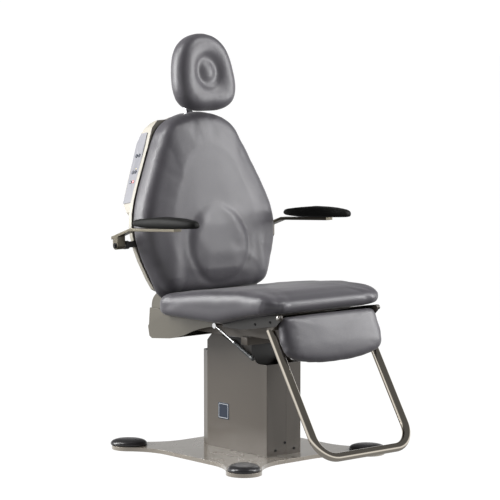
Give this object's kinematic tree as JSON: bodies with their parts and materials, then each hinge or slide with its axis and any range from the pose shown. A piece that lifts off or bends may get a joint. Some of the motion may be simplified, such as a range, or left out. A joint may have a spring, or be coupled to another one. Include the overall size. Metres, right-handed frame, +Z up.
{
  "type": "ophthalmic examination chair",
  "caption": "Powered examination chair on a lift column: reclining padded back with headrest, folding armrests, and a leg pad with a tubular foot rail.",
  "frame": {"origin": "centre of the base plate's underside on the floor, on the swivel axis", "axes": "+Z up, -Y towards the front of the chair, +X to the right of someone looking along +Y at its front"},
  "size_m": [0.724, 0.9661, 1.3857],
  "materials": {
    "plate_paint": "gloss",
    "cap_plastic": "satin",
    "shroud_paint": "satin",
    "black_screw": "satin",
    "blank_plastic": "gloss",
    "inlet_plastic": "matte",
    "mast_steel": "satin",
    "actuator_paint": "matte",
    "column_paint": "satin",
    "nylon": "matte",
    "bright_steel": "polished",
    "ring_steel": "satin",
    "frame_paint": "satin",
    "cover_paint": "satin",
    "upholstery": "satin",
    "shell_plastic": "satin",
    "circuit_box": "matte",
    "grip_plastic": "satin",
    "keypad_film": "satin",
    "key_grey": "satin",
    "key_dark": "satin",
    "key_red": "satin",
    "arm_metal": "satin",
    "arm_pad_skin": "satin",
    "bracket_black": "satin",
    "rail_steel": "polished"
  },
  "bodies": {
    "base": {"base_plate": "plate_paint", "foot_cap_front_left": "cap_plastic", "foot_cap_front_right": "cap_plastic", "foot_cap_rear_left": "cap_plastic", "foot_cap_rear_right": "cap_plastic", "shroud_left": "shroud_paint", "shroud_right": "shroud_paint", "shroud_front": "shroud_paint", "shroud_access": "shroud_paint", "shroud_rear": "shroud_paint", "shroud_screws": "black_screw", "blank_plate": "blank_plastic", "mains_inlet": "inlet_plastic", "guide_mast": "mast_steel", "lift_actuator": "actuator_paint"},
    "carriage": {"inner_column": "column_paint", "guide_pads": "nylon", "lift_ram": "bright_steel", "swivel_ring_lower": "ring_steel"},
    "chair": {"swivel_ring_upper": "ring_steel", "seat_frame": "frame_paint", "seat_pan": "frame_paint", "front_bracket_left": "frame_paint", "front_bracket_right": "frame_paint", "bracket_screws": "black_screw", "seat_cushion": "upholstery", "rear_cover": "cover_paint", "recline_actuator": "actuator_paint", "brake_block": "ring_steel"},
    "brake_lever": {"brake_lever": "bright_steel", "brake_grip": "grip_plastic"},
    "back": {"back_frame": "frame_paint", "back_cushion": "upholstery", "back_shell": "shell_plastic", "control_box": "circuit_box", "hinge_cover": "cover_paint", "keypad_panel": "keypad_film", "arm_mount_left": "frame_paint", "arm_mount_right": "frame_paint", "headrest_socket": "bracket_black"},
    "key_up": {"key_up": "key_grey"},
    "key_down": {"key_down": "key_grey"},
    "key_recline": {"key_recline": "key_grey"},
    "key_upright": {"key_upright": "key_grey"},
    "key_auto": {"key_auto": "key_dark"},
    "key_stop": {"key_stop": "key_red"},
    "recline_rod": {"recline_rod": "bright_steel"},
    "leg_link": {"leg_link": "mast_steel"},
    "leg_rest": {"leg_frame": "frame_paint", "leg_pad": "upholstery", "foot_rail": "rail_steel"},
    "arm_left": {"arm_bar_left": "arm_metal", "arm_pad_left": "arm_pad_skin"},
    "arm_right": {"arm_bar_right": "arm_metal", "arm_pad_right": "arm_pad_skin"},
    "headrest_post": {"headrest_post": "bright_steel"},
    "headrest_link": {"headrest_link": "bracket_black"},
    "headrest": {"headrest_plate": "bracket_black", "headrest_cushion": "upholstery"},
    "headrest_lock": {"headrest_lock": "bright_steel"}
  },
  "joints": [
    {"name": "lift", "type": "slide", "parent": "base", "child": "carriage", "axis": [0, 0, 1], "range_m": [0, 0.254]},
    {"name": "swivel", "type": "hinge", "parent": "carriage", "child": "chair", "pos_m": [0, 0, 0.4], "axis": [0, 0, 1], "range_deg": [-165, 165]},
    {"name": "brake_lever", "type": "hinge", "parent": "chair", "child": "brake_lever", "pos_m": [-0.195, -0.066, 0.4454], "axis": [-1, 0, 0], "range_deg": [0, 18]},
    {"name": "recline", "type": "hinge", "parent": "chair", "child": "back", "pos_m": [0, 0.232, 0.475], "axis": [-1, 0, 0], "range_deg": [0, 70]},
    {"name": "recline_rod_slide", "type": "slide", "parent": "chair", "child": "recline_rod", "axis": [0, -1, 0], "range_m": [0, 0.048]},
    {"name": "leg_link_slide", "type": "slide", "parent": "chair", "child": "leg_link", "axis": [0, -1, 0], "range_m": [0, 0.088]},
    {"name": "leg_rest", "type": "hinge", "parent": "chair", "child": "leg_rest", "pos_m": [0, -0.398, 0.504], "axis": [-1, 0, 0], "range_deg": [0, 68]},
    {"name": "arm_left_fold", "type": "hinge", "parent": "back", "child": "arm_left", "pos_m": [-0.33, 0.268, 0.69], "axis": [-1, 0, 0], "range_deg": [0, 95]},
    {"name": "arm_right_fold", "type": "hinge", "parent": "back", "child": "arm_right", "pos_m": [0.33, 0.268, 0.69], "axis": [-1, 0, 0], "range_deg": [0, 95]},
    {"name": "key_up_press", "type": "slide", "parent": "back", "child": "key_up", "axis": [0.9127, -0.0688, -0.4027], "range_m": [0, 0.0008], "stiffness_N_per_m": 400},
    {"name": "key_down_press", "type": "slide", "parent": "back", "child": "key_down", "axis": [0.9127, -0.0688, -0.4027], "range_m": [0, 0.0008], "stiffness_N_per_m": 400},
    {"name": "key_recline_press", "type": "slide", "parent": "back", "child": "key_recline", "axis": [0.9127, -0.0688, -0.4027], "range_m": [0, 0.0008], "stiffness_N_per_m": 400},
    {"name": "key_upright_press", "type": "slide", "parent": "back", "child": "key_upright", "axis": [0.9127, -0.0688, -0.4027], "range_m": [0, 0.0008], "stiffness_N_per_m": 400},
    {"name": "key_auto_press", "type": "slide", "parent": "back", "child": "key_auto", "axis": [0.9127, -0.0688, -0.4027], "range_m": [0, 0.0008], "stiffness_N_per_m": 400},
    {"name": "key_stop_press", "type": "slide", "parent": "back", "child": "key_stop", "axis": [0.9127, -0.0688, -0.4027], "range_m": [0, 0.0008], "stiffness_N_per_m": 400},
    {"name": "headrest_height", "type": "slide", "parent": "back", "child": "headrest_post", "axis": [0, 0.1685, 0.9857], "range_m": [0, 0.1]},
    {"name": "headrest_swing", "type": "hinge", "parent": "headrest_post", "child": "headrest_link", "pos_m": [0, 0.31153, 1.15231], "axis": [-1, 0, 0], "range_deg": [0, 40]},
    {"name": "headrest_tilt", "type": "hinge", "parent": "headrest_link", "child": "headrest", "pos_m": [0, 0.27889, 1.21501], "axis": [-1, 0, 0], "range_deg": [-6, 35]},
    {"name": "headrest_lock_turn", "type": "hinge", "parent": "headrest_link", "child": "headrest_lock", "pos_m": [0, 0.31153, 1.15231], "axis": [1, 0, 0], "range_deg": [0, 45]}
  ],
  "couplings": [
    {"joint": "recline_rod_slide", "follows": "recline", "m_per_rad": 0.038918},
    {"joint": "leg_link_slide", "follows": "recline", "m_per_rad": 0.071361},
    {"joint": "leg_rest", "follows": "recline", "ratio": 0.9714}
  ]
}
